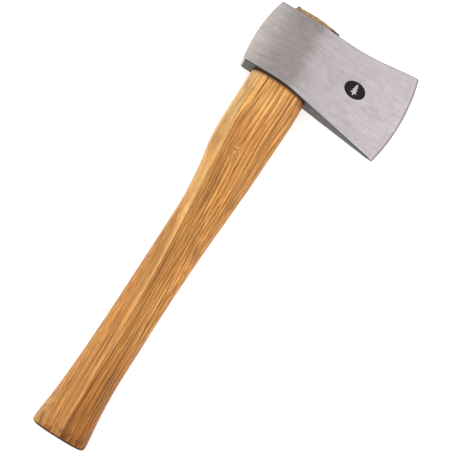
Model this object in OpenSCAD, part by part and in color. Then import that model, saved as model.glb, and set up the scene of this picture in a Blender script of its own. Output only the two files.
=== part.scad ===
// Hatchet with a wedged wooden haft, lying flat on one cheek. Millimetres.
// +X runs along the haft towards the head, the cutting edge faces -Y, the poll
// faces +Y, and +Z is up through the thickness. The origin is under the middle.

/* [Overall] */
// Length from the butt of the haft to the toe of the bit
overall_length = 380; // [370:1:390]
// Length of the head from the poll to the cutting edge
head_length = 134; // [132:1:136]
// Greatest thickness of the head, and of the butt that lies level with it
thickness = 28.6; // [28:0.2:30]

/* [Head outline] */
// Height of the poll, measured along the haft
poll_height = 55; // [53:1:57]
// Radius of the poll's crown, seen from the side
poll_radius = 119; // [110:1:140]
// Radius of the cutting edge, seen from the side
bit_radius = 152; // [145:1:165]
// How far the toe of the bit rises above the top of the poll
toe_rise = 8; // [6:0.5:9]
// Slope of the underside towards the heel of the bit, mm per mm
heel_slope = 0.151; // [0.13:0.005:0.17]
// Slope of the top towards the toe of the bit, mm per mm
toe_slope = 0.178; // [0.16:0.005:0.19]
// Corner radius where the top and the underside meet the poll
poll_corner = 3; // [2:0.5:4]

/* [Head thickness] */
// Radius of the cheeks over the eye, seen along the haft
cheek_radius = 230; // [200:5:300]
// Where the head is thickest, behind the middle of its length
cheek_y = 36; // [33:1:39]
// How much the blade thins on each side, mm per mm
blade_taper = 0.147; // [0.145:0.001:0.148]
// Width of the cutting bevel, seen from the side
bevel_width = 4; // [3:0.5:5]
// Half the thickness of the blade where the cutting bevel starts
bevel_half = 1.6; // [1.4:0.1:1.8]
// Thickness left at the cutting edge
edge_land = 0.3; // [0.2:0.1:0.4]

/* [Eye] */
// Length and width of the eye at the underside of the head
eye_mouth = [48, 20]; // [46:0.5:49]
// Length and width of the eye at its waist
eye_waist = [41, 17]; // [40:0.5:42]
// Length and width of the eye at the top of the head
eye_top = [42, 18]; // [41:0.5:43]
// Gap left on each side between the haft, the wedges and the eye
fit_gap = 0.05; // [0.02:0.01:0.1]

/* [Haft top and wedges] */
// How far the haft stands proud of the top of the head
haft_proud = 5; // [3:0.5:6]
// Depth of the sawn kerf and of the wooden wedge in it
kerf_depth = 42; // [36:1:46]
// Thickness of the wooden wedge at its top
wood_wedge_top = 5; // [4:0.5:6]
// Thickness of the wooden wedge at its tip
wood_wedge_tip = 0.8; // [0.6:0.1:1]
// Length of the wooden wedge along the eye
wood_wedge_length = 40; // [38:0.5:40]
// Thickness, width and length of the steel wedge
steel_wedge = [5.2, 9, 22]; // [4:0.2:25]
// Thickness of the steel wedge at its tip
steel_tip = 0.8; // [0.6:0.1:1]
// How far the wooden wedge stands proud of the haft
wood_proud = 0.4; // [0.2:0.1:0.6]
// How far the steel wedge stands proud of the haft
steel_proud = 1.6; // [1:0.2:3]
// Place of the steel wedge along the eye
steel_wedge_y = 46.4; // [45.6:0.2:46.8]

/* [Haft] */
// Angle by which the butt is sawn off square
butt_angle = 1.6; // [0:0.2:2]
// Edge radius of the butt
butt_round = 3; // [2:0.5:4]
// Flatness of the haft's sides: 2 is an ellipse, more is squarer
haft_power = 2.5; // [2:0.1:3]
// Flatness of the haft's sides where its shoulder meets the head
shoulder_power = 3.6; // [2.5:0.1:4]
// Thickness of the haft at its shoulder
shoulder_thickness = 24.8; // [22:0.2:26]

/* [Maker's mark] */
// Size of the sunk oval mark along and across the head
mark_size = [18.6, 13.4]; // [12:0.2:20]
// Depth of the sunk mark
mark_depth = 0.4; // [0.2:0.1:0.6]

/* [Hidden] */

ARC_FN = 360;        // round arcs of the head
RING_SIDES = 40;     // sides of the haft and of the eye
RING_STEP = 7;       // spacing of the haft's rings
CUT = 1;             // how far a cutting shape runs past a face
BUTT_HALF = 22;      // half the width of the butt, where its slant pivots
BUTT_FADE = 24;      // length of haft over which the slant fades out
SHOULDER_FADE = 20;  // length of haft over which its rings tip to the head's underside

mid_z = thickness / 2;
toe_x = overall_length / 2;
butt_x = -overall_length / 2;
poll_y = head_length / 2;
bit_y = -head_length / 2;
top_x = toe_x - toe_rise;
under_x = top_x - poll_height;
haft_top_x = top_x + haft_proud;
bit_rise = 24.4;     // from the underside of the poll to the middle of the bit
crown_rise = 20.8;   // from the underside of the poll to the crown of the poll
bit_center = [under_x + bit_rise, bit_y + bit_radius];
poll_center = [under_x + crown_rise, poll_y - poll_radius];

// The arched cheek meets the flat blade at the crease
crease_y = 22;
cheek_rise = cheek_radius - thickness / 2;
crease_half = sqrt(cheek_radius ^ 2 - (cheek_y - crease_y) ^ 2) - cheek_rise;

// The haft: distance along it, poll side, bit side, thickness, flatness of its sides
neck_thickness = shoulder_thickness - 1;
neck_power = (haft_power + shoulder_power) / 2;
STATIONS = [
    [butt_x, 60.4, 14.9, 28.6, haft_power],
    [-181, 60.0, 15.4, 28.6, haft_power],
    [-164, 57.7, 17.1, 26.8, haft_power],
    [-141, 55.6, 18.1, 24.6, haft_power],
    [-110, 53.7, 17.5, 23.6, haft_power],
    [-60, 51.7, 16.1, 23.4, haft_power],
    [-10, 50.2, 13.3, 23.2, haft_power],
    [15, 49.9, 11.3, 23.2, haft_power],
    [40, 51.7, 9.4, 23.4, haft_power],
    [62, 55.1, 8.1, neck_thickness, neck_power],
    [80, 56.0, 7.1, neck_thickness + 0.6, neck_power],
    [105, 55.4, 6.0, shoulder_thickness, shoulder_power],
    [under_x, 54.7, 6.3, shoulder_thickness, shoulder_power]
];

// The tongue inside the eye: distance along it, middle, length, width
eye_y = 30.5;
waist_x = under_x + poll_height * 0.42;
EYE = [
    [under_x, eye_y, eye_mouth[0], eye_mouth[1]],
    [waist_x, eye_y - 0.2, eye_waist[0], eye_waist[1]],
    [top_x, eye_y - 0.3, eye_top[0], eye_top[1]]
];

// ---- curves ----

// Index of the stretch of a station list that holds x
function stretch(list, x, i = 0) =
    i >= len(list) - 2 || x < list[i + 1][0] ? i : stretch(list, x, i + 1);

// Slope of column c at station i
function slope_at(list, c, i) =
    let (a = max(i - 1, 0), b = min(i + 1, len(list) - 1))
    (list[b][c] - list[a][c]) / (list[b][0] - list[a][0]);

// Smooth curve through column c of a station list
function curve(list, c, x) =
    let (i = stretch(list, x),
         span = list[i + 1][0] - list[i][0],
         t = min(max((x - list[i][0]) / span, 0), 1))
    (2 * t ^ 3 - 3 * t ^ 2 + 1) * list[i][c]
        + (t ^ 3 - 2 * t ^ 2 + t) * span * slope_at(list, c, i)
        + (3 * t ^ 2 - 2 * t ^ 3) * list[i + 1][c]
        + (t ^ 3 - t ^ 2) * span * slope_at(list, c, i + 1);

function power(v, p) = sign(v) * pow(abs(v), p);

// Ring of points round an oval at x; lean shifts it along X with its Y
function oval(x, y, length, width, p, lean = 0) =
    [for (k = [0:RING_SIDES - 1])
        let (a = 360 * k / RING_SIDES,
             dy = length / 2 * power(cos(a), 2 / p),
             dz = width / 2 * power(sin(a), 2 / p))
        [x + lean * dy, y + dy, mid_z + dz]];

function arc_points(center, r, from, to, steps) =
    [for (k = [0:steps])
        let (a = from + (to - from) * k / steps)
        center + r * [cos(a), sin(a)]];

// Closed skin over a list of rings, with a flat cap on each end
module loft(rings) {
    n = len(rings[0]);
    last = len(rings) - 1;
    points = [for (r = rings) for (p = r) p];
    sides = [for (i = [0:last - 1]) for (k = [0:n - 1])
        let (m = (k + 1) % n)
        [i * n + k, (i + 1) * n + k, (i + 1) * n + m, i * n + m]];
    start_cap = [[for (k = [0:n - 1]) k]];
    end_cap = [[for (k = [n - 1:-1:0]) last * n + k]];
    polyhedron(points, concat(sides, start_cap, end_cap), convexity = 4);
}

// Extrude a profile drawn in Y and Z along X
module along_x(from, length) {
    translate([from, 0, 0]) rotate([90, 0, 90]) linear_extrude(length) children();
}

// Extrude a profile drawn in X and Z along Y
module along_y(from, length) {
    translate([0, from + length, 0]) rotate([90, 0, 0]) linear_extrude(length) children();
}

// ---- head ----

bend_radius = 119;       // where the underside turns down to the heel
bend_start = 38;

// How far the underside of the head lies below its level part at y
function underside_drop(y) =
    let (bend_end = bend_radius * sin(atan(heel_slope)),
         run = max(0, bend_start - y))
    bend_radius - sqrt(bend_radius ^ 2 - min(run, bend_end) ^ 2)
        + heel_slope * max(0, run - bend_end);

// Side view of the head, before the poll and bit arcs trim it
module head_blank() {
    sweep_radius = 180;      // where the top turns up to the toe
    sweep_start = 0.5;
    corner_y = poll_y - 7.2;
    past = 4;
    bend_steps = 5;
    bend = arc_points([under_x - bend_radius, bend_start], bend_radius,
                      0, -atan(heel_slope), bend_steps);
    sweep = arc_points([top_x + sweep_radius, sweep_start], sweep_radius,
                       180 + atan(toe_slope), 180, 6);
    heel = bend[bend_steps];
    toe = sweep[0];
    front = bit_y - past;
    polygon(concat(
        [[under_x + poll_corner, poll_y + past]],
        arc_points([under_x + poll_corner, corner_y], poll_corner, 110, 180, 4),
        bend,
        [[heel[0] - heel_slope * (heel[1] - front), front]],
        [[toe[0] + toe_slope * (toe[1] - front), front]],
        sweep,
        arc_points([top_x - poll_corner, corner_y], poll_corner, 0, 75, 4),
        [[top_x - poll_corner, poll_y + past]]));
}

module head_side() {
    intersection() {
        head_blank();
        translate(poll_center) circle(poll_radius, $fn = ARC_FN);
        translate(bit_center) circle(bit_radius, $fn = ARC_FN);
    }
}

// Plan view of the head: cheeks arched over the eye, then two flat blade faces
module head_plan() {
    front = bit_y - CUT;
    front_half = crease_half - blade_taper * (crease_y - front);
    intersection() {
        translate([cheek_y, mid_z - cheek_rise]) circle(cheek_radius, $fn = ARC_FN);
        translate([cheek_y, mid_z + cheek_rise]) circle(cheek_radius, $fn = ARC_FN);
        translate([crease_y, 0]) square([poll_y - crease_y + CUT, thickness]);
    }
    translate([0, mid_z]) polygon([
        [front, -front_half], [crease_y, -crease_half],
        [crease_y, crease_half], [front, front_half]]);
}

// Disc whose rim is ground to the cutting edge
module edge_disc() {
    grind = bevel_half / bevel_width;
    shoulder = bit_radius - (thickness - edge_land / 2) / grind;
    translate([bit_center[0], bit_center[1], mid_z])
        rotate_extrude($fn = ARC_FN) polygon([
            [0, -thickness], [shoulder, -thickness], [bit_radius, -edge_land / 2],
            [bit_radius, edge_land / 2], [shoulder, thickness], [0, thickness]]);
}

// The eye, or the tongue that fills it when gap is positive, up to x = end
function eye_ring(x, gap) =
    oval(x, curve(EYE, 1, x), curve(EYE, 2, x) - 2 * gap, curve(EYE, 3, x) - 2 * gap,
         haft_power);

module eye() {
    steps = 6;
    inside = [for (k = [0:steps]) eye_ring(under_x + poll_height * k / steps, 0)];
    below = underside_drop(eye_y - eye_mouth[0] / 2) + CUT;
    mouth = oval(under_x - below, eye_y, eye_mouth[0], eye_mouth[1], haft_power);
    outlet = oval(top_x + CUT, EYE[2][1], eye_top[0], eye_top[1], haft_power);
    loft(concat([mouth], inside, [outlet]));
}

// A plain spruce tree, its tip towards the top of the head
module spruce() {
    tiers = 3;
    foot = 2.9;
    tier_rise = 2.3;
    for (k = [0:tiers - 1])
        let (half = foot - 0.6 * k)
        translate([tier_rise * (k - 1), 0])
            polygon([[-0.3, -half], [-0.3, half], [3.1, 0]]);
    translate([-4.2, -0.6]) square([2, 1.2]);
}

// The tree stands in a sunk oval, sunk square to the flat blade face
module makers_mark() {
    place = [153.3, -21.7];
    depth_here = crease_half - blade_taper * (crease_y - place[1]);
    translate([place[0], place[1], mid_z + depth_here])
        rotate([atan(blade_taper), 0, 0])
            translate([0, 0, -mark_depth]) linear_extrude(mark_depth + CUT)
                difference() {
                    polygon([for (a = [0:10:350])
                        [mark_size[1] / 2 * cos(a), mark_size[0] / 2 * sin(a)]]);
                    spruce();
                }
}

module head() {
    color("silver") difference() {
        intersection() {
            linear_extrude(thickness) head_side();
            along_x(under_x - 20, poll_height + 40) head_plan();
            edge_disc();
        }
        eye();
        makers_mark();
    }
}

// ---- wedges ----

// Side of a wedge along X, or of its slot: gap wider all round and open above the top
module wedge_profile(tip, top, half_tip, half_top, gap) {
    slope = (half_top - half_tip) / (top - tip);
    above = gap > 0 ? CUT : 0;
    low = half_tip + gap - slope * gap;
    high = half_top + gap + slope * above;
    polygon([[tip - gap, -low], [top + above, -high], [top + above, high], [tip - gap, low]]);
}

module kerf_profile(gap) {
    translate([0, mid_z])
        wedge_profile(haft_top_x - kerf_depth, haft_top_x + wood_proud,
                      wood_wedge_tip / 2, wood_wedge_top / 2, gap);
}

module steel_wedge_body(gap) {
    top = haft_top_x + steel_proud;
    translate([0, steel_wedge_y, mid_z - steel_wedge[1] / 2 - gap])
        linear_extrude(steel_wedge[1] + 2 * gap)
            wedge_profile(top - steel_wedge[2], top, steel_tip / 2, steel_wedge[0] / 2, gap);
}

module wooden_wedge() {
    middle_y = EYE[2][1];
    color("peru") difference() {
        along_y(middle_y - wood_wedge_length / 2, wood_wedge_length) kerf_profile(0);
        steel_wedge_body(fit_gap);
    }
}

module steel_wedge() {
    color("dimgray") steel_wedge_body(0);
}

// ---- haft ----

// Tip a ring along X so that it comes level with the underside of the head
function tip_ring(ring, amount, below = 0) =
    [for (p = ring) [p[0] - below - amount * underside_drop(p[1]), p[1], p[2]]];

// Ring of the haft at x, drawn in by inset for the rounded butt
function haft_ring(x, inset = 0) =
    let (back = curve(STATIONS, 1, x),
         front = curve(STATIONS, 2, x),
         deep = curve(STATIONS, 3, x),
         flat = curve(STATIONS, 4, x),
         lean = tan(butt_angle) * max(0, 1 - (x - butt_x) / BUTT_FADE),
         tip = max(0, 1 - (under_x - x) / SHOULDER_FADE))
    tip_ring(oval(x + lean * BUTT_HALF, (back + front) / 2, back - front - 2 * inset,
                  deep - 2 * inset, flat, lean), tip);

module haft() {
    round_steps = 5;
    butt_rings = [for (k = [0:round_steps])
        let (a = 90 * k / round_steps)
        haft_ring(butt_x + butt_round * (1 - cos(a)), butt_round * (1 - sin(a)))];
    body_start = butt_x + butt_round;
    body_steps = ceil((under_x - body_start) / RING_STEP);
    body_rings = [for (k = [1:body_steps - 1])
        haft_ring(body_start + (under_x - body_start) * k / body_steps)];
    shoulder_ring = tip_ring(haft_ring(under_x), 0, fit_gap);
    mouth_ring = tip_ring(eye_ring(under_x, fit_gap), 1, fit_gap);
    tongue_steps = 6;
    tongue_rings = [for (k = [0:tongue_steps])
        eye_ring(under_x + poll_height * k / tongue_steps, fit_gap)];
    proud_ring = oval(haft_top_x, EYE[2][1], eye_top[0] - 2 * fit_gap,
                      eye_top[1] - 2 * fit_gap, haft_power);
    color("burlywood") difference() {
        loft(concat(butt_rings, body_rings, [shoulder_ring, mouth_ring], tongue_rings,
                    [proud_ring]));
        along_y(eye_y - eye_mouth[0], 2 * eye_mouth[0]) kerf_profile(fit_gap);
        steel_wedge_body(fit_gap);
    }
}

head();
haft();
wooden_wedge();
steel_wedge();
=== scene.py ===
"""Looks of a wedged hatchet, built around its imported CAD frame.

Every place is in the row frame: +X runs along the haft to the head, the cutting
edge faces -Y, +Z is up, and the hatchet lies flat on one cheek. Shapes are worked
out in millimetres and written to the meshes in metres."""

import math

import bmesh
import bpy
import numpy as np
from mathutils import Matrix, Vector, noise


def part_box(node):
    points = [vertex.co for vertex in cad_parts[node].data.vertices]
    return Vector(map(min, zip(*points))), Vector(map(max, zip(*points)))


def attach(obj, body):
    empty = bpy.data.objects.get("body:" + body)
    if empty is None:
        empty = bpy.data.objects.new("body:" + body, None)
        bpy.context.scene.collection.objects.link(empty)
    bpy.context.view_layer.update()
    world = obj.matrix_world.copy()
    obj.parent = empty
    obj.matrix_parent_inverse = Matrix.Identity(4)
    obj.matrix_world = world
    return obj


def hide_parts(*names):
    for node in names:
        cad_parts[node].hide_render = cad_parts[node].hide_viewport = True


MM = 0.001

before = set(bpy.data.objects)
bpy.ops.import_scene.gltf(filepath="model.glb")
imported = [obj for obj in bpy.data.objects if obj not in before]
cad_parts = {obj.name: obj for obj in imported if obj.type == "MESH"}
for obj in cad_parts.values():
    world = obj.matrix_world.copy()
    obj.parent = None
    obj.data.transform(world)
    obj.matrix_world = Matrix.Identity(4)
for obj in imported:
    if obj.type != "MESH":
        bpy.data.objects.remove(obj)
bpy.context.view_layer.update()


def box_mm(node):
    """Lowest and highest corner of a CAD node in millimetres."""
    low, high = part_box(node)
    return np.array(low) / MM, np.array(high) / MM


# ---- driving dimensions ----

head_low, head_high = box_mm("head")
steel_low, steel_high = box_mm("steel_wedge")

MID_Z = (head_low[2] + head_high[2]) / 2
THICK = head_high[2] - head_low[2]
POLL_Y = head_high[1]
BIT_Y = head_low[1]

# Places along the haft: its sawn top, the head's top and underside, and the two ends of the hatchet
HAFT_PROUD = 5.0
HEAD_HEIGHT = 55.0
TOE_REACH = 8.0
HAFT_TOP_X = box_mm("haft")[1][0]
TOP_X = HAFT_TOP_X - HAFT_PROUD
UNDER_X = TOP_X - HEAD_HEIGHT
TOE_X = TOP_X + TOE_REACH
BUTT_X = -TOE_X

# Poll and bit: arcs that reach furthest out at a peak above the head's underside
POLL_RADIUS = 119.0
POLL_PEAK = 20.8
POLL_CENTER = (UNDER_X + POLL_PEAK, POLL_Y - POLL_RADIUS)
BIT_RADIUS = 152.0
BIT_PEAK = 24.4
BIT_CENTER = (UNDER_X + BIT_PEAK, BIT_Y + BIT_RADIUS)

# Underside and top of the head: radius of the bend, the Y where it starts, slope after it
HEEL_BEND = (119.0, 38.0, 0.151)
TOE_SWEEP = (180.0, 0.5, 0.178)

# Cheeks arch as far as the crease, then the blade tapers to its bevel and the land of its edge
CHEEK_RADIUS = 230.0
CHEEK_Y = 36.0
CREASE_Y = 22.0
CREASE_BLEND = 0.45
BLADE_TAPER = 0.147
BEVEL_WIDTH = 4.0
EDGE_LAND = 0.3
TOE_ROUND = 1.0
EDGE_ROUND = 0.7
POLL_ROUND = 1.1

# Haft: middle of the eye that it fits, flatness of its sides, and its slanted, rounded butt
EYE_Y = 30.5
HAFT_POWER = 2.5
BUTT_SLANT = math.tan(math.radians(1.6))
BUTT_HALF = 22.0
BUTT_MIDDLE = 37.65
BUTT_FADE = 24.0
BUTT_ROUND = 3.0
FIT_GAP = 0.05

# Haft: distance along it, poll side, bit side, thickness, flatness of its sides
SHOULDER_THICK = 24.8
SHOULDER_POWER = 3.6
SHOULDER_FADE = 20.0
NECK_THICK = SHOULDER_THICK - 1
NECK_POWER = (HAFT_POWER + SHOULDER_POWER) / 2
STATIONS = np.array([
    [BUTT_X, 60.4, 14.9, 28.6, HAFT_POWER],
    [-181, 60.0, 15.4, 28.6, HAFT_POWER],
    [-164, 57.7, 17.1, 26.8, HAFT_POWER],
    [-141, 55.6, 18.1, 24.6, HAFT_POWER],
    [-110, 53.7, 17.5, 23.6, HAFT_POWER],
    [-60, 51.7, 16.1, 23.4, HAFT_POWER],
    [-10, 50.2, 13.3, 23.2, HAFT_POWER],
    [15, 49.9, 11.3, 23.2, HAFT_POWER],
    [40, 51.7, 9.4, 23.4, HAFT_POWER],
    [62, 55.1, 8.1, NECK_THICK, NECK_POWER],
    [80, 56.0, 7.1, NECK_THICK + 0.6, NECK_POWER],
    [105, 55.4, 6.0, SHOULDER_THICK, SHOULDER_POWER],
    [UNDER_X, 54.7, 6.3, SHOULDER_THICK, SHOULDER_POWER],
])

# Eye: distance along the haft, middle, length, width
EYE = np.array([
    [UNDER_X, EYE_Y, 48.0, 20.0],
    [UNDER_X + 23.1, EYE_Y - 0.2, 41.0, 17.0],
    [TOP_X, EYE_Y - 0.3, 42.0, 18.0],
])
EYE_TOP_Y = EYE[-1, 1]

# Wooden wedge: thickness at its top and tip, length along the eye, depth of its kerf
WOOD_TOP = 5.0
WOOD_TIP = 0.8
WOOD_LENGTH = 40.0
KERF_DEPTH = 42.0

# Steel wedge: thickness at its top and tip, width, length, how far it stands proud of the haft
STEEL_TOP = 5.2
STEEL_TIP = 0.8
STEEL_WIDE = 9.0
STEEL_LONG = 22.0
STEEL_PROUD = 1.6
STEEL_Y = (steel_low[1] + steel_high[1]) / 2

# Grain: distance along the haft, place of the bold ring line on the upper face, fan of the rings
GRAIN = np.array([
    [BUTT_X, 36.5, 1.0],
    [-165, 37.8, 1.0],
    [-100, 37.6, 0.98],
    [-50, 38.6, 1.0],
    [-10, 40.4, 1.04],
    [20, 42.2, 1.1],
    [55, 45.2, 1.2],
    [80, 46.4, 1.25],
    [104, 45.8, 1.28],
    [TOE_X, 43.0, 1.28],
])
MEAN_DEPTH = 23.0
RING_TILT = math.radians(45)
RING_WIDTH = 2.0
KNOT = (63.6, 34.4)
KNOT_RISE = 2.7
SEAT_REACH = 3.0


# ---- curves ----

def curve(stations, column, x):
    """Smooth curve through one column of a station table, which keeps its end values beyond them."""
    places = stations[:, 0]
    values = stations[:, column]
    last = len(places) - 1
    i = int(np.clip(np.searchsorted(places, x, side="right") - 1, 0, last - 1))
    pairs = [(max(i - 1, 0), min(i + 1, last)), (i, min(i + 2, last))]
    slopes = [(values[b] - values[a]) / (places[b] - places[a]) for a, b in pairs]
    span = places[i + 1] - places[i]
    t = min(max((x - places[i]) / span, 0.0), 1.0)
    return ((2 * t ** 3 - 3 * t ** 2 + 1) * values[i]
            + (t ** 3 - 2 * t ** 2 + t) * span * slopes[0]
            + (3 * t ** 2 - 2 * t ** 3) * values[i + 1]
            + (t ** 3 - t ** 2) * span * slopes[1])


def soft_min(a, b, width):
    """Smaller of a and b, with the corner between them rounded over width."""
    h = np.clip(0.5 + 0.5 * (b - a) / width, 0, 1)
    return b * (1 - h) + a * h - width * h * (1 - h)


def signed_power(v, p):
    return math.copysign(abs(v) ** p, v)


def oval_points(x, y, length, width, sides, lean=0.0, power=HAFT_POWER):
    """Points round an oval section; lean shifts them along X with their Y."""
    points = []
    for k in range(sides):
        a = 2 * math.pi * k / sides
        dy = length / 2 * signed_power(math.cos(a), 2 / power)
        dz = width / 2 * signed_power(math.sin(a), 2 / power)
        points.append((x + lean * dy, y + dy, MID_Z + dz))
    return points


# ---- mesh helpers ----

def new_ring(bm, points):
    return [bm.verts.new(Vector(p) * MM) for p in points]


def skin(bm, rings, slots=None):
    """Join rings of vertices into a tube of quads; slots gives each column's material."""
    count = len(rings[0])
    for a, b in zip(rings, rings[1:]):
        for k in range(count):
            m = (k + 1) % count
            face = bm.faces.new((a[k], a[m], b[m], b[k]))
            if slots is not None:
                face.material_index = slots[k]


def cap(bm, loop, steps, slot=0):
    """Fill a closed loop with a grid of quads; steps are the counts along two of its sides."""
    na, nb = steps
    count = len(loop)
    side_a = [loop[k] for k in range(na + 1)]
    side_b = [loop[na + k] for k in range(nb + 1)]
    side_c = [loop[(2 * na + nb - k) % count] for k in range(na + 1)]
    side_d = [loop[(count - k) % count] for k in range(nb + 1)]
    grid = [[None] * (nb + 1) for _ in range(na + 1)]
    for i in range(na + 1):
        grid[i][0] = side_a[i]
        grid[i][nb] = side_c[i]
    for j in range(nb + 1):
        grid[0][j] = side_d[j]
        grid[na][j] = side_b[j]
    for i in range(1, na):
        for j in range(1, nb):
            u, v = i / na, j / nb
            along = side_a[i].co * (1 - v) + side_c[i].co * v
            across = side_d[j].co * (1 - u) + side_b[j].co * u
            corners = (side_a[0].co * (1 - u) * (1 - v) + side_a[na].co * u * (1 - v)
                       + side_c[0].co * (1 - u) * v + side_c[na].co * u * v)
            grid[i][j] = bm.verts.new(along + across - corners)
    for i in range(na):
        for j in range(nb):
            quad = (grid[i][j], grid[i + 1][j], grid[i + 1][j + 1], grid[i][j + 1])
            bm.faces.new(quad).material_index = slot


def mark_sharp(mesh, angle):
    """Smooth every face and keep the edges that turn by more than angle sharp."""
    bm = bmesh.new()
    bm.from_mesh(mesh)
    limit = math.radians(angle)
    for face in bm.faces:
        face.smooth = True
    for edge in bm.edges:
        edge.smooth = len(edge.link_faces) == 2 and edge.calc_face_angle(0.0) < limit
    bm.to_mesh(mesh)
    bm.free()


def to_object(name, bm, materials):
    bmesh.ops.recalc_face_normals(bm, faces=bm.faces)
    mesh = bpy.data.meshes.new(name)
    bm.to_mesh(mesh)
    bm.free()
    for material in materials:
        mesh.materials.append(material)
    piece = bpy.data.objects.new(name, mesh)
    bpy.context.scene.collection.objects.link(piece)
    return piece


def prism(name, outline, low, high, materials, place=Matrix()):
    """Straight prism over an outline of XY points, set down by the matrix place."""
    bm = bmesh.new()
    rings = [[bm.verts.new(place @ (Vector((x, y, z)) * MM)) for x, y in outline] for z in (low, high)]
    skin(bm, rings)
    for ring in rings:
        bm.faces.new(ring)
    return to_object(name, bm, materials)


def cut(piece, cutter):
    """Cut one object out of another for good, and remove the cutter."""
    tool = piece.modifiers.new("cut", "BOOLEAN")
    tool.operation = "DIFFERENCE"
    tool.solver = "EXACT"
    tool.material_mode = "TRANSFER"
    tool.object = cutter
    depsgraph = bpy.context.evaluated_depsgraph_get()
    mesh = bpy.data.meshes.new_from_object(piece.evaluated_get(depsgraph))
    piece.modifiers.clear()
    piece.data = mesh
    bpy.data.objects.remove(cutter)


def settle(piece, angle):
    """Finish a piece: sharp edges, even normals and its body."""
    mark_sharp(piece.data, angle)
    normals = piece.modifiers.new("even_normals", "WEIGHTED_NORMAL")
    normals.keep_sharp = True
    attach(piece, "root")


def rounded_block(bm, low, high, steps, radius, shape):
    """Box with rounded edges, sent through shape(point) for its taper and wear."""
    low, high = np.array(low, float), np.array(high, float)
    middle, half = (low + high) / 2, (high - low) / 2
    gather = 0.35
    made = {}

    def corner(index):
        if index not in made:
            share = np.array(index) / np.array(steps)
            share = gather * (0.5 - 0.5 * np.cos(share * math.pi)) + (1 - gather) * share
            p = half * (2 * share - 1)
            inner = np.clip(p, radius - half, half - radius)
            out = p - inner
            size = np.linalg.norm(out)
            if size > 0:
                p = inner + out * radius / size
            made[index] = bm.verts.new(Vector(shape(middle + p)) * MM)
        return made[index]

    for axis in range(3):
        a, b = [k for k in range(3) if k != axis]
        for end in (0, steps[axis]):
            for i in range(steps[a]):
                for j in range(steps[b]):
                    quad = []
                    for di, dj in ((0, 0), (1, 0), (1, 1), (0, 1)):
                        index = [0, 0, 0]
                        index[axis] = end
                        index[a] = i + di
                        index[b] = j + dj
                        quad.append(corner(tuple(index)))
                    bm.faces.new(quad)


# ---- node materials ----

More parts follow.
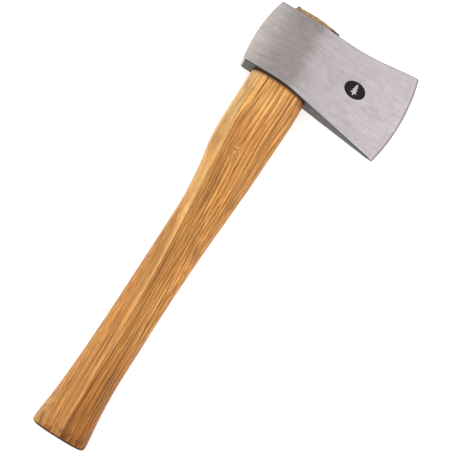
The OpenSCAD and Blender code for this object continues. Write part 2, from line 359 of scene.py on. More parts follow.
class Surface:
    """A node material, with short helpers for the steps that its colour is made of."""

    def __init__(self, name):
        self.material = bpy.data.materials.new(name)
        self.material.use_nodes = True
        self.tree = self.material.node_tree
        self.shader = self.tree.nodes["Principled BSDF"]
        self.spot = self.node("ShaderNodeTexCoord", {}).outputs["Object"]
        self.x, self.y, self.z = self.parts(self.spot)

    def put(self, socket, value):
        if isinstance(value, bpy.types.NodeSocket):
            self.tree.links.new(value, socket)
        elif isinstance(value, tuple) and len(value) == 3 and socket.type == "RGBA":
            socket.default_value = (*value, 1.0)
        else:
            socket.default_value = value

    def node(self, kind, inputs, **settings):
        node = self.tree.nodes.new(kind)
        for name, value in settings.items():
            setattr(node, name, value)
        for name, value in inputs.items():
            self.put(node.inputs[name], value)
        return node

    def attribute(self, name, output="Fac"):
        return self.node("ShaderNodeAttribute", {}, attribute_name=name).outputs[output]

    def parts(self, vector):
        return self.node("ShaderNodeSeparateXYZ", {0: vector}).outputs

    def join(self, x, y, z=0.0):
        return self.node("ShaderNodeCombineXYZ", {0: x, 1: y, 2: z}).outputs[0]

    def math(self, operation, a, b=0.0, c=0.0):
        return self.node("ShaderNodeMath", {0: a, 1: b, 2: c}, operation=operation).outputs[0]

    def times(self, product, *factors):
        """Product of a socket and one or more sockets or numbers."""
        for factor in factors:
            product = self.math("MULTIPLY", product, factor)
        return product

    def line(self, value, slope, start):
        """Start plus slope times value."""
        return self.math("MULTIPLY_ADD", value, slope, start)

    def swing(self, pattern, amount, middle=1.0):
        """Middle, moved as far as a noise pattern strays from a half, times amount."""
        return self.line(self.math("SUBTRACT", pattern, 0.5), amount, middle)

    def steps_past(self, value, start, step):
        """How many steps a coordinate is past start, which is in millimetres like the step."""
        return self.math("DIVIDE", self.math("SUBTRACT", value, start * MM), step * MM)

    def bell(self, *offsets):
        """Bell that is 1 where every offset is 0, and dies out a step or two away."""
        squares = [self.times(offset, offset) for offset in offsets]
        total = squares[0]
        for square in squares[1:]:
            total = self.math("ADD", total, square)
        return self.math("EXPONENT", self.times(total, -1.0))

    def between(self, value, low, high, start=0.0, end=1.0):
        """Smooth step from start to end as value goes from low to high."""
        return self.node("ShaderNodeMapRange", {
            "Value": value, "From Min": low, "From Max": high, "To Min": start, "To Max": end},
            interpolation_type="SMOOTHSTEP").outputs["Result"]

    def span(self, value, low, high, start=0.0, end=1.0):
        """Smooth step along a coordinate, from low to high in millimetres."""
        return self.between(value, low * MM, high * MM, start, end)

    def noise(self, place, sizes, detail=2.0, roughness=0.5):
        """Noise round a half, with lumps of these sizes in millimetres along the three axes."""
        scales = tuple(1 / (size * MM) for size in sizes)
        scaled = self.node("ShaderNodeVectorMath", {0: place, 1: scales}, operation="MULTIPLY").outputs[0]
        return self.node("ShaderNodeTexNoise", {
            "Vector": scaled, "Scale": 1.0, "Detail": detail, "Roughness": roughness}).outputs["Fac"]

    def mix(self, factor, a, b):
        return self.node("ShaderNodeMix", {0: factor, 6: a, 7: b}, data_type="RGBA").outputs[2]

    def shade(self, color, factor):
        """Colour times a grey factor."""
        return self.node("ShaderNodeVectorMath", {0: color, "Scale": factor}, operation="SCALE").outputs[0]

    def toned(self, factor, color, tone):
        """Colour multiplied by another colour, as far as factor says."""
        product = self.node("ShaderNodeVectorMath", {0: color, 1: tone}, operation="MULTIPLY").outputs[0]
        return self.mix(factor, color, product)

    def bump(self, height, distance, strength=1.0):
        """Relief whose height is given as a distance in millimetres."""
        node = self.node("ShaderNodeBump", {
            "Height": height, "Distance": distance * MM, "Strength": strength})
        self.put(self.shader.inputs["Normal"], node.outputs[0])

    def finish(self, **values):
        """Set the shader's own sockets, and give back the material."""
        for name, value in values.items():
            self.put(self.shader.inputs[name.replace("_", " ")], value)
        return self.material


def ground_steel(name, base, rough):
    """Steel ground from the poll to the bit, with fine scratches and faint bands."""
    s = Surface(name)
    sway = s.noise(s.spot, (30, 30, 60), 1.0)
    flow = s.join(s.line(sway, 5 * MM, s.x), s.y, s.z)
    scratches = s.noise(flow, (0.28, 9, 4), 3.0, 0.6)
    streaks = s.noise(flow, (0.9, 13, 6), 3.0, 0.6)
    bands = s.noise(flow, (2.4, 30, 12), 3.0, 0.55)
    clouds = s.noise(s.spot, (16, 22, 30))
    spots = s.noise(s.spot, (4.5, 6, 6), 3.0, 0.6)
    grit = s.noise(s.spot, (0.9, 1.2, 1.2), 2.0, 0.6)
    tone = 1.0
    for pattern, amount in ((scratches, 0.24), (streaks, 0.32), (bands, 0.48),
                            (clouds, 0.22), (spots, 0.32), (grit, 0.30)):
        tone = s.swing(pattern, amount, tone)
    warm = tuple(part * share for part, share in zip(base, (1.0, 0.985, 0.99)))
    color = s.shade(s.mix(clouds, warm, base), tone)

    # Darker towards the very edge of the bit
    from_center = s.join(s.math("SUBTRACT", s.x, BIT_CENTER[0] * MM),
                         s.math("SUBTRACT", s.y, BIT_CENTER[1] * MM))
    reach = s.node("ShaderNodeVectorMath", {0: from_center}, operation="LENGTH").outputs["Value"]
    behind_edge = s.math("SUBTRACT", BIT_RADIUS * MM, reach)
    color = s.shade(color, s.span(behind_edge, 0.2, 2.4, 0.42, 1.0))
    s.bump(s.line(bands, 0.6, scratches), 0.012, 0.6)
    return s.finish(Base_Color=color, Metallic=1.0, Roughness=s.swing(bands, 0.12, rough),
                    Anisotropic=0.6, Tangent=s.join(1.0, 0.02))


def forged_steel():
    """Dark forge scale left on the top, the underside and in the eye."""
    s = Surface("forged_scale")
    patches = s.noise(s.spot, (7, 9, 9), 4.0, 0.6)
    drag = s.noise(s.spot, (3, 7, 0.7), 3.0, 0.6)
    grain = s.noise(s.spot, (0.5, 0.6, 0.5), 3.0, 0.65)
    color = s.mix(s.between(patches, 0.3, 0.7), (0.041, 0.047, 0.049), (0.062, 0.068, 0.070))
    color = s.shade(color, s.line(drag, 0.7, 0.65))
    color = s.shade(color, s.span(s.y, -20, -56, 1.0, 0.8))
    s.bump(s.line(grain, 0.5, drag), 0.06, 0.7)
    return s.finish(Base_Color=color, Metallic=0.55, Roughness=s.between(patches, 0.2, 0.8, 0.42, 0.6))


def mark_enamel():
    """Black enamel in the sunk mark, a little chipped."""
    s = Surface("mark_enamel")
    wear = s.noise(s.spot, (0.9, 0.9, 2), 4.0, 0.65)
    chips = s.between(wear, 0.66, 0.72)
    paint = s.shade((0.0075, 0.007, 0.008), s.between(wear, 0.3, 0.7, 0.5, 1.6))
    color = s.mix(chips, paint, (0.22, 0.21, 0.20))
    s.bump(wear, 0.05)
    return s.finish(Base_Color=color, Metallic=chips, Roughness=0.5, Specular_IOR_Level=0.2)


class AshWood(Surface):
    """Varnished ash, whose growth rings, pores and fibres follow the haft's grain field."""

    def __init__(self, name):
        super().__init__(name)
        self.along, self.ring, self.deep = self.parts(self.attribute("grain", "Vector"))
        self.upper = self.span(self.z, MID_Z + 4, MID_Z + 8)
        self.near_head = self.span(self.along, 58, 98)
        self.lift_over_knot()
        self.count_rings()
        self.clouds = self.noise(self.field, (34, 10, 14))

    def lift_over_knot(self):
        """Raise the rings to a peak over the knot, then put the grain field together again."""
        self.knot_x = self.math("ABSOLUTE", self.math("SUBTRACT", self.x, KNOT[0] * MM))
        self.knot_y = self.math("SUBTRACT", self.y, KNOT[1] * MM)
        fade = self.math("EXPONENT", self.steps_past(self.knot_x, 0, -5.5))
        bell = self.bell(self.steps_past(self.knot_y, 1.0, 5.0))
        rise = self.times(fade, bell, self.times(self.upper, KNOT_RISE * MM))
        self.ring = self.line(rise, -math.cos(RING_TILT), self.ring)
        self.deep = self.line(rise, math.sin(RING_TILT), self.deep)
        self.field = self.join(self.along, self.ring, self.deep)

    def count_rings(self):
        """Number the rings from the bold line, and give each a tint and a phase from 0 to 1."""
        shifted = self.swing(self.noise(self.field, (42, 14, 30)), 3.0 * MM, self.ring)
        shifted = self.swing(self.noise(self.field, (8, 3, 9)), 0.8 * MM, shifted)
        self.turns = self.steps_past(shifted, 0, RING_WIDTH)
        self.phase = self.math("FRACT", self.turns)
        self.sapwood = self.between(self.turns, -0.10, 0.06)
        number = self.math("FLOOR", self.turns)
        tint = self.node("ShaderNodeTexWhiteNoise", {"W": number}, noise_dimensions="1D").outputs["Value"]
        first = self.times(self.between(self.turns, -1.03, -0.97), self.between(self.turns, 0.03, -0.03))
        usual = self.span(self.along, -60, -130, 0.55, 0.2)
        self.tint = self.line(self.math("SUBTRACT", usual, tint), first, tint)

    def ring_color(self):
        """Warmer, darker heartwood below the bold line, and paler sapwood above it."""
        color = self.mix(self.sapwood, (0.60, 0.262, 0.053), (0.61, 0.290, 0.072))
        color = self.shade(color, self.line(self.tint, 0.24, 0.88))
        under = self.times(self.between(self.turns, -1.6, -0.1), self.between(self.turns, -0.04, -0.14),
                           self.span(self.along, -50, -140, 0.0, -0.12))
        color = self.shade(color, self.math("ADD", under, 1.0))
        bold = self.times(self.between(self.turns, -0.05, 0.08), self.between(self.turns, 1.0, 0.2),
                          self.span(self.along, -185, -60, 0.5, 0.9))
        return self.mix(bold, color, (0.84, 0.50, 0.175))

    def pale_parts(self, color):
        """Paler neck, a painted highlight along its rounded poll side, and sapwood at the butt's corner.
        """
        neck = self.times(self.span(self.along, 70, 112), self.between(self.clouds, 0.32, 0.62), 0.55)
        color = self.mix(neck, color, (0.84, 0.53, 0.21))
        # Painted highlight on the rounded poll side of the neck, where the light falls
        poll_side_highlight = self.times(self.span(self.along, 45, 85), self.span(self.y, 48, 53, 0.0, 0.65))
        color = self.mix(poll_side_highlight, color, (0.86, 0.58, 0.27))
        corner = self.times(self.span(self.ring, 7, 11), self.span(self.along, -135, -160),
                            self.between(self.clouds, 0.35, 0.6, 0.45, 0.85))
        return self.mix(corner, color, (0.74, 0.43, 0.155))

    def pore_rows(self, color):
        """Dark row of pores at the start of each ring, faint in the sapwood except by the head."""
        row = self.times(self.between(self.phase, 0.0, 0.08), self.between(self.phase, 0.42, 0.14),
                         self.line(self.tint, 0.45, 0.50))
        faint = self.times(self.sapwood, self.line(self.near_head, 0.35, -0.75))
        self.row = self.times(row, self.math("ADD", faint, 1.0))
        color = self.mix(self.row, color, (0.29, 0.098, 0.020))
        late = self.times(self.between(self.phase, 0.84, 0.95), self.line(self.tint, 0.5, 0.15), 0.8)
        return self.mix(late, color, (0.72, 0.38, 0.115))

    def fibre_lines(self, color):
        """Strands, threads, fibres and short open pores along the grain, strongest at the butt."""
        strength = self.times(self.line(self.sapwood, -0.4, 1.0), self.span(self.along, 0, -110, 1.0, 1.7),
                              self.line(self.near_head, 0.25, 1.0))
        strands = self.noise(self.field, (60, 0.85, 0.85))
        threads = self.noise(self.field, (80, 0.65, 0.65), 1.0)
        self.fibres = self.noise(self.field, (16, 0.42, 0.42), 3.0, 0.6)
        dashes = self.noise(self.field, (4.5, 0.38, 0.38), 1.0, 0.4)
        strand = self.times(self.math("SUBTRACT", strands, 0.5), strength)
        color = self.shade(color, self.line(strand, 2.1, 1.0))
        color = self.shade(color, self.swing(self.fibres, 1.25))
        dark_thread = self.times(self.between(threads, 0.46, 0.30, 0.0, 0.85), strength)
        color = self.mix(dark_thread, color, (0.27, 0.086, 0.016))
        color = self.mix(self.between(threads, 0.57, 0.70, 0.0, 0.48), color, (0.80, 0.47, 0.175))
        self.dash = self.times(self.between(dashes, 0.58, 0.70), self.line(self.row, 0.8, 0.35))
        return self.mix(self.dash, color, (0.20, 0.07, 0.02))

    def slow_changes(self, color):
        """Clouds, heartwood that darkens to the butt and warms to the head, browner rear sapwood."""
        color = self.shade(color, self.swing(self.clouds, 0.30))
        butt = self.times(self.span(self.along, -90, -178), self.line(self.sapwood, -0.9, 1.0))
        color = self.toned(butt, color, (0.65, 0.53, 0.37))
        warm = self.times(self.near_head, self.line(self.sapwood, -1.0, 1.0))
        color = self.toned(warm, color, (1.13, 1.06, 0.93))
        rear = self.times(self.span(self.along, 10, -80), self.sapwood)
        return self.toned(rear, color, (0.97, 0.885, 0.83))

    def butt_end(self, color):
        """Mottled wood, darker towards the butt, with a black outline round its end."""
        slant = self.times(self.math("SUBTRACT", self.y, (BUTT_MIDDLE - BUTT_HALF) * MM), -BUTT_SLANT)
        self.from_end = self.math("ADD", self.math("SUBTRACT", self.x, BUTT_X * MM), slant)
        mottle = self.noise(self.spot, (5.0, 3.2, 5.0), 3.0, 0.6)
        dark_butt_band = self.times(self.span(self.from_end, 13, 2), self.between(mottle, 0.40, 0.56, 0.15, 1.0),
                            self.span(self.y, 58, 34, 0.40, 1.0))
        color = self.mix(dark_butt_band, color, (0.17, 0.050, 0.009))
        return self.mix(self.span(self.from_end, 2.4, 1.0, 0.0, 0.92), color, (0.024, 0.010, 0.004))

    def knot_color(self, color):
        """A bright lobe on either side of the knot's dark core."""
        lean = self.math("ADD", self.knot_y, self.times(self.knot_x, 0.35))
        lobes = self.bell(self.steps_past(self.knot_x, 2.0, 1.7), self.steps_past(lean, 0, 1.0))
        lobes = self.between(self.times(lobes, self.upper), 0.2, 0.9, 0.0, 0.65)
        color = self.mix(lobes, color, (0.82, 0.52, 0.20))
        core = self.bell(self.steps_past(self.knot_x, 0, 0.8), self.steps_past(self.knot_y, 0.6, 1.8))
        core = self.between(self.times(core, self.upper), 0.2, 0.8, 0.0, 0.6)
        return self.mix(core, color, (0.26, 0.088, 0.020))

    def seat_shadow_and_grime(self, color):
        """Painted shadow, partly grime, where the haft meets the head: a brown band and a black line; and
        a painted shadow at the heel.
        """
        # Painted shadow in the corner at the bit-side heel, under the head
        heel_shadow = self.times(self.span(self.along, 114, 121), self.span(self.y, 15, 8, 0.0, 0.75))
        color = self.mix(heel_shadow, color, (0.15, 0.050, 0.015))
        # Painted shadow, partly grime, along the seat under the head: a brown band, then a black line
        seat = self.attribute("seat")
        color = self.mix(self.between(seat, 0.02, 0.55, 0.0, 0.85), color, (0.13, 0.044, 0.013))
        return self.mix(self.between(seat, 0.58, 0.84, 0.0, 0.9), color, (0.020, 0.010, 0.006))

    def sawn_top(self, color):
        """Tan end grain on the sawn top, with painted shade darkening it towards the bit."""
        blotches = self.noise(self.spot, (2.4, 2.4, 2.4), 3.0, 0.6)
        pores = self.noise(self.spot, (9, 0.34, 0.34), 1.0)
        saw_lines = self.noise(self.spot, (9, 14, 0.30))
        tan = self.mix(self.between(blotches, 0.32, 0.66), (0.36, 0.225, 0.095), (0.64, 0.43, 0.205))
        tan = self.shade(tan, self.swing(saw_lines, 0.7))
        open_pores = self.times(self.between(pores, 0.56, 0.66), self.line(self.row, 1.2, 0.35))
        tan = self.mix(self.math("MINIMUM", open_pores, 0.85), tan, (0.11, 0.055, 0.020))
        # Painted shade darkening the sawn top towards the bit
        tan = self.mix(self.span(self.y, 22, 15, 0.0, 0.9), tan, (0.045, 0.032, 0.022))
        return self.mix(self.span(self.along, TOP_X + 1.0, TOP_X + 2.2), color, tan)


def haft_wood():
    """Varnish over the ash, worn off at the butt end, with a slight relief of fibres and pores."""
    s = AshWood("varnished_ash")
    color = s.ring_color()
    for layer in (s.pale_parts, s.pore_rows, s.fibre_lines, s.slow_changes,
                  s.butt_end, s.knot_color, s.seat_shadow_and_grime, s.sawn_top):
        color = layer(color)
    relief = s.math("SUBTRACT", s.times(s.fibres, 0.5), s.times(s.dash, 0.9))
    s.bump(s.line(s.row, -0.4, relief), 0.10, 0.35)
    gloss = s.span(s.from_end, 1, 7, 0.08, 0.3)
    return s.finish(Base_Color=color, Roughness=s.swing(s.fibres, 0.2, 0.48), Specular_IOR_Level=gloss,
                    Coat_Weight=0.12, Coat_Roughness=0.3)


def wedge_wood():
    """Unfinished beech with short dark flecks, darker where it was hammered and at its faces."""
    s = Surface("wedge_beech")
    fibres = s.noise(s.spot, (14, 0.4, 0.4), 3.0, 0.6)
    flecks = s.noise(s.spot, (1.4, 0.25, 0.25), 2.0, 0.5)
    color = s.mix(fibres, (0.46, 0.245, 0.110), (0.72, 0.46, 0.245))
    color = s.mix(s.between(flecks, 0.56, 0.66), color, (0.20, 0.085, 0.035))
    struck = s.noise(s.spot, (2.5, 2.5, 2.5), 3.0, 0.6)
    color = s.shade(color, s.between(struck, 0.3, 0.7, 0.6, 1.05))
    from_middle = s.math("ABSOLUTE", s.math("SUBTRACT", s.z, MID_Z * MM))
    color = s.shade(color, s.span(from_middle, 1.7, 2.45, 1.0, 0.5))
    s.bump(s.math("ADD", flecks, struck), 0.25, 0.7)
    return s.finish(Base_Color=color, Roughness=0.78)


def wedge_iron():
    """Oxidised steel with rust in its hollows."""
    s = Surface("wedge_iron")
    blows = s.noise(s.spot, (2.2, 2.2, 2.2), 4.0, 0.6)
    spots = s.noise(s.spot, (1.2, 1.2, 1.2), 4.0, 0.7)
    rust = s.between(spots, 0.50, 0.62)
    color = s.mix(rust, (0.055, 0.040, 0.032), (0.26, 0.105, 0.035))
    color = s.shade(color, s.between(blows, 0.25, 0.75, 0.6, 1.3))
    s.bump(s.line(rust, 0.4, blows), 0.25, 0.8)
    return s.finish(Base_Color=color, Metallic=s.line(rust, -0.8, 0.85), Roughness=s.line(rust, 0.3, 0.5))


GROUND = ground_steel("ground_steel", (0.453, 0.415, 0.411), 0.33)
# Darker ground steel for the head's rounded edges
ARRIS = ground_steel("dark_arris_steel", (0.27, 0.272, 0.268), 0.38)
FORGED = forged_steel()
ENAMEL = mark_enamel()
ASH = haft_wood()
BEECH = wedge_wood()
IRON = wedge_iron()


# ---- head ----

CHEEK_STEPS = 56
FACE_STEPS = 16
CORNER_STEPS = 6
BODY_STEPS = 120
POLL_RINGS = 6
SETTLING_ROUNDS = 6
BEVEL_SHARES = (0.97, 0.9, 0.75, 0.6, 0.45, 0.32, 0.22, 0.16, 0.1, 0.06, 0.03, 0.01, 0.0)
HEAD_SLOTS = [GROUND, FORGED, ARRIS]
GROUND_SLOT, FORGED_SLOT, ARRIS_SLOT = range(len(HEAD_SLOTS))
CHEEK_RISE = CHEEK_RADIUS - THICK / 2
CREASE_HALF = math.sqrt(CHEEK_RADIUS ** 2 - (CHEEK_Y - CREASE_Y) ** 2) - CHEEK_RISE
CREASE_SLOPE = (CHEEK_Y - CREASE_Y) / (CREASE_HALF + CHEEK_RISE)


def sweep(y, radius, start, slope):
    """Rise of an outline that is level, bends round an arc at start, then runs straight."""
    bend = radius * math.sin(math.atan(slope))
    gone = np.clip(start - y, 0, bend)
    arc = radius - np.sqrt(radius ** 2 - gone ** 2)
    return arc + slope * np.maximum(start - bend - y, 0)


def under_line(y):
    return UNDER_X - sweep(y, *HEEL_BEND)


def top_line(y):
    return TOP_X + sweep(y, *TOE_SWEEP)


def poll_arc(x):
    return POLL_CENTER[1] + np.sqrt(POLL_RADIUS ** 2 - (x - POLL_CENTER[0]) ** 2)


def bit_arc(x, back):
    """Arc that lies a fixed distance behind the cutting edge."""
    return BIT_CENTER[1] - np.sqrt((BIT_RADIUS - back) ** 2 - (x - BIT_CENTER[0]) ** 2)


def body_half(y):
    """Half thickness of the head without its cutting bevel."""
    arch = np.sqrt(CHEEK_RADIUS ** 2 - (CHEEK_Y - np.maximum(y, CREASE_Y)) ** 2) - CHEEK_RISE
    arch = arch - CREASE_SLOPE * np.maximum(CREASE_Y - y, 0)
    blade = CREASE_HALF - BLADE_TAPER * (CREASE_Y - y)
    return soft_min(arch, blade, CREASE_BLEND)


def head_section():
    """Round one section: share of the height, corner turns along X and Z, side and slot."""
    corner = [math.pi / 2 * k / CORNER_STEPS for k in range(1, CORNER_STEPS)]
    rows = []
    slots = []
    for side in (1, -1):
        end = 0.5 + 0.5 * side
        arris = ARRIS_SLOT if side > 0 else FORGED_SLOT
        for k in range(CHEEK_STEPS + 1):
            share = k / CHEEK_STEPS
            rows.append((share if side > 0 else 1 - share, 0, side, side))
            slots.append(GROUND_SLOT if k < CHEEK_STEPS else arris)
        for a in corner:
            rows.append((end, side * math.sin(a), side, side * math.cos(a)))
            slots.append(arris)
        for k in range(FACE_STEPS + 1):
            rows.append((end, side, side * (1 - 2 * k / FACE_STEPS), 0))
            slots.append(FORGED_SLOT if k < FACE_STEPS else arris)
        for a in corner[::-1]:
            rows.append((end, side * math.sin(a), -side, -side * math.cos(a)))
            slots.append(arris)
    return np.array(rows, float), slots


def head_ring(section, y_at, half_at, inset=0.0, shorten=0.0):
    """Points round the section whose place along Y is y_at(x); shorten draws in its two ends.

    Both outlines slope with Y, so x and y are worked out in turn until they settle.
    """
    share, turn_x, side_z, turn_z = section.T
    x = UNDER_X + (TOP_X - UNDER_X) * share
    for _ in range(SETTLING_ROUNDS):
        y = y_at(x)
        half = half_at(y)
        r = np.minimum(EDGE_ROUND, 0.55 * (half - inset))
        low = under_line(y) + inset + shorten / 2 + r
        high = top_line(y) - inset - shorten - r
        x = low + (high - low) * share + r * turn_x
    z = (half - inset - r) * side_z + r * turn_z
    return np.column_stack((x, y, MID_Z + z))


def poll_rings(section):
    """Rounded rim of the poll, from its face out to the full section."""
    rings = []
    for k in range(POLL_RINGS):
        a = math.pi / 2 * k / (POLL_RINGS - 1)
        inset = POLL_ROUND * (1 - math.sin(a))
        back = POLL_ROUND * (1 - math.cos(a))
        rings.append(head_ring(section, lambda x, b=back: poll_arc(x) - b, body_half, inset))
    return rings


def body_rings(section):
    """Sections from just behind the poll's rim to the start of the bevel."""
    start = POLL_ROUND + 0.3
    rings = []
    for k in range(BODY_STEPS + 1):
        share = k / BODY_STEPS
        rings.append(head_ring(
            section, lambda x, t=share: (poll_arc(x) - start) * (1 - t) + bit_arc(x, BEVEL_WIDTH) * t,
            body_half))
    return rings


def bevel_rings(section):
    """Sections down the cutting bevel, with the toe rounded off at its end."""
    land = EDGE_LAND / 2
    shoulder = float(body_half(bit_arc(BIT_CENTER[0], BEVEL_WIDTH)))
    rings = []
    for share in BEVEL_SHARES:
        back = BEVEL_WIDTH * share
        half = land + (shoulder - land) * share
        gone = max(TOE_ROUND - back, 0.0)
        shorten = TOE_ROUND - math.sqrt(TOE_ROUND ** 2 - gone ** 2)
        rings.append(head_ring(
            section, lambda x, b=back: bit_arc(x, b), lambda y, h=half: h + 0 * y, shorten=shorten))
    return rings


def make_head():
    section, slots = head_section()
    rings = poll_rings(section) + body_rings(section) + bevel_rings(section)
    bm = bmesh.new()
    loops = [new_ring(bm, ring) for ring in rings]
    skin(bm, loops[:POLL_RINGS + 1])
    skin(bm, loops[POLL_RINGS:], slots)
    half_corner = CORNER_STEPS // 2
    steps = (CHEEK_STEPS + 2 * half_corner, FACE_STEPS + 2 * half_corner)
    count = len(slots)
    turned = [(k - half_corner) % count for k in range(count)]
    for loop in (loops[0], loops[-1]):
        cap(bm, [loop[k] for k in turned], steps)
    return to_object("hatchet_head", bm, HEAD_SLOTS)


def eye_ring(x, gap, sides):
    return oval_points(x, curve(EYE, 1, x), curve(EYE, 2, x) - 2 * gap, curve(EYE, 3, x) - 2 * gap, sides)


def eye_cutter():
    """The eye, carried on past the sloping underside and the top."""
    sides = 128
    steps = 26
    past_under = 4.5
    past_top = 1.0
    places = [UNDER_X + (TOP_X - UNDER_X) * k / steps for k in range(steps + 1)]
    rings = [eye_ring(x, 0, sides) for x in places]
    first = [(x - past_under, y, z) for x, y, z in rings[0]]
    last = [(x + past_top, y, z) for x, y, z in rings[-1]]
    bm = bmesh.new()
    loops = [new_ring(bm, ring) for ring in [first] + rings + [last]]
    skin(bm, loops)
    bm.faces.new(loops[0])
    bm.faces.new(loops[-1])
    return to_object("eye_cutter", bm, [FORGED])


def spruce_outline():
    """A plain three-tier spruce, its tip towards +X."""
    tiers = 3
    foot, shrink = 2.9, 0.6
    rise, height = 2.3, 3.4
    trunk_half, trunk_foot = 0.6, -4.2
    down = 0.3
    side = [(trunk_foot, trunk_half), (-rise - down, trunk_half)]
    for k in range(tiers):
        start = rise * (k - 1) - down
        half = foot - shrink * k
        side.append((start, half))
        if k < tiers - 1:
            side.append((start + rise, half * (1 - rise / height)))
    tip = [(rise - down + height, 0.0)]
    return side + tip + [(x, -y) for x, y in reversed(side)]


def cut_mark(head):
    """Sink the oval mark into the upper blade face and leave the tree standing."""
    x, y = 153.3, -21.7
    size_x, size_y = 13.4, 18.6
    depth = 0.4
    past = 1.0
    sides = 72
    surface = MID_Z + float(body_half(np.array(y)))
    place = (Matrix.Translation(Vector((x, y, surface)) * MM)
             @ Matrix.Rotation(math.atan(BLADE_TAPER), 4, "X"))
    turns = [2 * math.pi * k / sides for k in range(sides)]
    oval = [(size_x / 2 * math.cos(a), size_y / 2 * math.sin(a)) for a in turns]
    cutter = prism("mark_cutter", oval, -depth, past, [ENAMEL], place)
    tree = prism("tree_cutter", spruce_outline(), -depth - past, 2 * past, [ENAMEL], place)
    cut(cutter, tree)
    cut(head, cutter)


head = make_head()
cut(head, eye_cutter())
cut_mark(head)
settle(head, 30)
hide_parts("head")


# ---- haft ----

HAFT_SIDES = 96
HAFT_STEPS = 156
BUTT_STEPS = 8
EYE_STEPS = 27

# Sawn top: straight part above the head, worn edge along and across, lean towards the bit
TOP_STRAIGHT = 0.8
TOP_BEVEL = 0.5
TOP_INSET = 0.4
TOP_LEAN = 0.07
TOP_LEAN_Y = EYE_Y + 3
TOP_HALF = 12

# Edge of the shoulder under the head: share of the full section, drop below the head
SEAT_RINGS = ((1.0, 0.45), (0.996, 0.2), (0.988, FIT_GAP))


def tip_ring(ring, amount, below=0.0):
    """Tip a ring along X towards the underside of the head, then move it down the haft."""
    return [(x - below - amount * float(UNDER_X - under_line(y)), y, z) for x, y, z in ring]


def haft_ring(x, inset=0.0):
    """Section of the haft at x, leaning with the butt and tipped under the head."""
    back, front, thick, power = (curve(STATIONS, column, x) for column in (1, 2, 3, 4))
    lean = BUTT_SLANT * max(0.0, 1 - (x - BUTT_X) / BUTT_FADE)
    tip = max(0.0, 1 - (UNDER_X - x) / SHOULDER_FADE)
    oval = oval_points(x + lean * BUTT_HALF, (back + front) / 2, back - front - 2 * inset,
                       min(thick, THICK) - 2 * inset, HAFT_SIDES, lean, power)
    return tip_ring(oval, tip)


def wobble(point, size, seed=0.0):
    """Smooth noise from about -1 to 1 that changes over size millimetres."""
    return noise.noise(Vector(point) / size + Vector((seed, seed * 1.7, -seed)))


def haft_top(points, inset):
    """The sawn top: a little out of square and rough."""
    shrink = 1 - inset / TOP_HALF
    result = []
    for x, y, z in points:
        slope = TOP_LEAN * max(TOP_LEAN_Y - y, 0.0)
        rough = 0.45 * wobble((0, y, z), 2.2) + 0.3 * wobble((0, y, z), 0.9, 3.0) + 0.1
        result.append((x - slope - abs(rough), EYE_TOP_Y + (y - EYE_TOP_Y) * shrink,
                       MID_Z + (z - MID_Z) * shrink))
    return result


def seat_rings():
    """The edge of the haft's shoulder, rounded over just under the head."""
    just_below = 0.001
    shoulder = haft_ring(UNDER_X - just_below)
    rings = []
    for share, below in SEAT_RINGS:
        rings.append([(x, EYE_Y + (y - EYE_Y) * share, MID_Z + (z - MID_Z) * share)
                      for x, y, z in tip_ring(shoulder, 0.0, below)])
    return rings


def butt_rings():
    """The rounded end of the butt."""
    rings = []
    for k in range(BUTT_STEPS + 1):
        a = math.pi / 2 * k / BUTT_STEPS
        rings.append(haft_ring(BUTT_X + BUTT_ROUND * (1 - math.cos(a)), BUTT_ROUND * (1 - math.sin(a))))
    return rings


def fitted_rings():
    """The part of the haft that fills the eye, and its sawn top just beyond the head."""
    rings = [tip_ring(eye_ring(UNDER_X, FIT_GAP, HAFT_SIDES), 1.0, FIT_GAP)]
    rings += [eye_ring(UNDER_X + (TOP_X - UNDER_X) * k / EYE_STEPS, FIT_GAP, HAFT_SIDES)
              for k in range(EYE_STEPS + 1)]
    top = rings[-1]
    rings.append([(x + TOP_STRAIGHT, y, z) for x, y, z in top])
    rings.append(haft_top([(HAFT_TOP_X - TOP_BEVEL, y, z) for x, y, z in top], 0.0))
    rings.append(haft_top([(HAFT_TOP_X, y, z) for x, y, z in top], TOP_INSET))
    return rings


def make_haft():
    start = BUTT_X + BUTT_ROUND
    grip = [haft_ring(start + (UNDER_X - start) * k / HAFT_STEPS) for k in range(1, HAFT_STEPS)]
    rings = butt_rings() + grip + seat_rings() + fitted_rings()
    bm = bmesh.new()
    loops = [new_ring(bm, ring) for ring in rings]
    skin(bm, loops)
    quarter = HAFT_SIDES // 4
    for loop in (loops[0], loops[-1]):
        cap(bm, [loop[(k + quarter // 2) % HAFT_SIDES] for k in range(HAFT_SIDES)], (quarter, quarter))
    return to_object("hatchet_haft", bm, [ASH])


def wedge_cutter(name, low_x, high_x, half_low, half_high, low, high, axis):
    """Tapered slot along X: thin at low_x, thick at high_x, straight from low to high along axis."""
    bm = bmesh.new()
    rings = []
    for end in (low, high):
        ring = []
        for x, half in ((low_x, -half_low), (high_x, -half_high), (high_x, half_high), (low_x, half_low)):
            ring.append((x, end, MID_Z + half) if axis == "Y" else (x, STEEL_Y + half, end))
        rings.append(new_ring(bm, ring))
    skin(bm, rings)
    for ring in rings:
        bm.faces.new(ring)
    return to_object(name, bm, [ASH])


def kerf_cutter(name):
    """Slot across the whole haft for the wooden wedge, open at the haft's top."""
    reach = 30
    past = 1.0
    return wedge_cutter(name, HAFT_TOP_X - KERF_DEPTH - FIT_GAP, HAFT_TOP_X + past,
                        WOOD_TIP / 2 + FIT_GAP, WOOD_TOP / 2 + FIT_GAP, EYE_Y - reach, EYE_Y + reach, "Y")


def slot_cutter(name):
    """Slot for the steel wedge, through the haft and the wooden wedge."""
    high_x = HAFT_TOP_X + STEEL_PROUD
    half_wide = STEEL_WIDE / 2 + FIT_GAP
    return wedge_cutter(name, high_x - STEEL_LONG - FIT_GAP, high_x, STEEL_TIP / 2 + FIT_GAP,
                        STEEL_TOP / 2 + FIT_GAP, MID_Z - half_wide, MID_Z + half_wide, "Z")


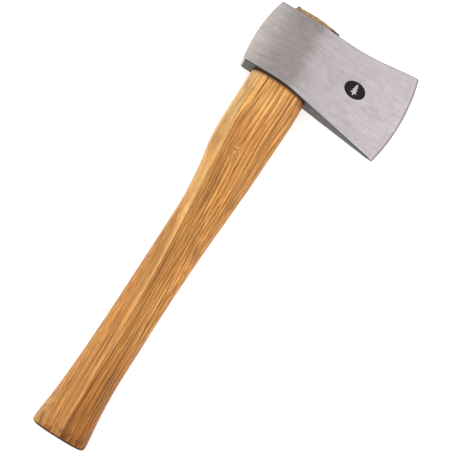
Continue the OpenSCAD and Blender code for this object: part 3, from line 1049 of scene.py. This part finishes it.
def grain_field(points):
    """Along the grain, across the growth rings and within them, and how near the head's seat is."""
    field = np.empty_like(points)
    seats = np.empty(len(points))
    turn_x, turn_y = math.cos(RING_TILT), math.sin(RING_TILT)
    for i, (x, y, z) in enumerate(points):
        back, front, thick, power = (curve(STATIONS, column, x) for column in (1, 2, 3, 4))
        line = curve(GRAIN, 1, x)
        off = abs(line - (back + front) / 2) / ((back - front) / 2)
        line_deep = MEAN_DEPTH / 2 * (1 - min(off, 1.0) ** power) ** (1 / power)
        across = (y - line) / curve(GRAIN, 2, x)
        deep = (z - MID_Z) * MEAN_DEPTH / thick - line_deep
        field[i] = (x, across * turn_x + deep * turn_y, deep * turn_x - across * turn_y)
        gap = float(under_line(np.array(y))) - x
        seats[i] = max(0.0, 1 - abs(gap) / SEAT_REACH)
    return field, seats


def add_grain(piece):
    mesh = piece.data
    points = np.empty(len(mesh.vertices) * 3)
    mesh.vertices.foreach_get("co", points)
    field, seats = grain_field(points.reshape(-1, 3) / MM)
    grain = mesh.attributes.new("grain", "FLOAT_VECTOR", "POINT")
    grain.data.foreach_set("vector", (field * MM).ravel())
    mesh.attributes.new("seat", "FLOAT", "POINT").data.foreach_set("value", seats)


haft = make_haft()
cut(haft, kerf_cutter("kerf_cutter"))
cut(haft, slot_cutter("slot_cutter"))
add_grain(haft)
settle(haft, 34)
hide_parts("haft")


# ---- wedges ----

def taper(x, low_x, high_x, tip, top):
    """Half thickness at x of a wedge that grows from tip to top."""
    return (tip + (top - tip) * (x - low_x) / (high_x - low_x)) / 2


def make_wooden_wedge():
    """The wooden wedge, driven in just proud of the haft, with a hammered top."""
    proud = 0.2
    low_x = HAFT_TOP_X - KERF_DEPTH
    high_x = HAFT_TOP_X + proud
    hammered_x = high_x - 0.8
    poll_end = EYE_Y + 21

    def shape(p):
        x, y, z = p
        half = taper(x, low_x, high_x, WOOD_TIP, WOOD_TOP)
        rise = 0.0
        if x > hammered_x:
            rise = 0.35 * wobble(p, 1.6, 5.0) - 0.016 * (poll_end - y) - 0.1
        return (x + rise, y, MID_Z + (z - MID_Z) * half / (WOOD_TOP / 2))

    bm = bmesh.new()
    rounded_block(bm, (low_x, EYE_TOP_Y - WOOD_LENGTH / 2, MID_Z - WOOD_TOP / 2),
                  (high_x, EYE_TOP_Y + WOOD_LENGTH / 2, MID_Z + WOOD_TOP / 2), (30, 36, 8), 0.3, shape)
    return to_object("driven_beech_wedge", bm, [BEECH])


def make_steel_wedge():
    """The steel wedge, its top dented and spread by the hammer."""
    high_x = HAFT_TOP_X + STEEL_PROUD
    low_x = high_x - STEEL_LONG
    half_top = STEEL_TOP / 2

    def shape(p):
        x, y, z = p
        half = taper(x, low_x, high_x, STEEL_TIP, STEEL_TOP)
        top = max(0.0, min(1.0, (x - HAFT_TOP_X + 0.2) / 1.2))
        spread = 1 + 0.18 * top * (1 + 0.8 * wobble((0, y, z), 3.0, 2.0))
        dent = top * (0.6 * wobble(p, 1.8, 7.0) - 0.5 - 0.2 * (STEEL_Y + half_top - y))
        return (min(x + dent, high_x), STEEL_Y + (y - STEEL_Y) * half / half_top * spread,
                MID_Z + (z - MID_Z) * (1 + (spread - 1) * 0.5))

    bm = bmesh.new()
    rounded_block(bm, (low_x, STEEL_Y - half_top, MID_Z - STEEL_WIDE / 2),
                  (high_x, STEEL_Y + half_top, MID_Z + STEEL_WIDE / 2), (30, 12, 18), 0.5, shape)
    return to_object("driven_steel_wedge", bm, [IRON])


beech = make_wooden_wedge()
cut(beech, slot_cutter("slot_cutter"))
settle(beech, 40)
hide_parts("wooden_wedge")

iron = make_steel_wedge()
settle(iron, 40)
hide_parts("steel_wedge")


# ---- stage, light and camera ----

FLOOR_REACH = 4000
FLOOR_DROP = 0.2

# The lights' aim is in metres, like their places and sizes
LIGHT_AIM = (0.12, 0, 0)


def make_floor():
    """Pale paper with a faint fibre and a little glow of its own."""
    s = Surface("paper")
    fibre = s.noise(s.spot, (40, 40, 40), 3.0, 0.6)
    paper = s.finish(Base_Color=s.mix(fibre, (0.92, 0.92, 0.92), (0.95, 0.95, 0.95)), Roughness=0.9,
                     Emission_Color=(1.0, 1.0, 1.0), Emission_Strength=0.5)
    bm = bmesh.new()
    corners = [(-1, -1), (1, -1), (1, 1), (-1, 1)]
    points = [(FLOOR_REACH * x, FLOOR_REACH * y, -FLOOR_DROP) for x, y in corners]
    bm.faces.new(new_ring(bm, points))
    to_object("floor", bm, [paper])


def softbox(name, place, size, radiance, color):
    """Rectangular light of a given radiance, aimed where the haft enters the head."""
    data = bpy.data.lights.new(name, "AREA")
    data.shape = "RECTANGLE"
    data.size, data.size_y = size
    data.color = color
    data.energy = radiance * size[0] * size[1] * math.pi
    light = bpy.data.objects.new(name, data)
    light.location = place
    aim = Vector(LIGHT_AIM) - Vector(place)
    light.rotation_euler = aim.to_track_quat("-Z", "Y").to_euler()
    bpy.context.scene.collection.objects.link(light)


def make_lights():
    """Three softboxes round the hatchet and an even pale sky."""
    softbox("bit_side_softbox", (0.55, -0.85, 1.0), (1.5, 1.1), 0.95, (1.0, 0.99, 1.07))
    softbox("poll_side_softbox", (0.25, 0.75, 1.1), (1.6, 0.9), 1.0, (1.0, 1.0, 0.935))
    softbox("butt_side_softbox", (-1.6, 0.0, 0.9), (1.2, 1.6), 1.6, (1.0, 0.99, 0.98))
    world = bpy.data.worlds.new("studio")
    world.use_nodes = True
    sky = world.node_tree.nodes["Background"]
    sky.inputs["Color"].default_value = (1.0, 0.985, 0.965, 1.0)
    sky.inputs["Strength"].default_value = 0.64
    bpy.context.scene.world = world
    bpy.context.scene.view_settings.view_transform = "Standard"


def make_camera():
    """Camera above the hatchet, rolled so that the haft leans across the picture."""
    target = Vector((10.9, 9.9, MID_Z)) * MM
    place = target + Vector((-88.46, 42.31, 800)) * MM
    lean = math.radians(30.8)
    forward = (target - place).normalized()
    right = forward.cross(Vector((math.cos(lean), math.sin(lean), 0))).normalized()
    up = right.cross(forward)
    data = bpy.data.cameras.new("camera")
    data.sensor_width = 36.0
    data.lens = 83.45
    camera = bpy.data.objects.new("camera", data)
    turn = Matrix((right, up, -forward)).transposed().to_4x4()
    camera.matrix_world = Matrix.Translation(place) @ turn
    bpy.context.scene.collection.objects.link(camera)
    bpy.context.scene.camera = camera


make_floor()
make_lights()
make_camera()
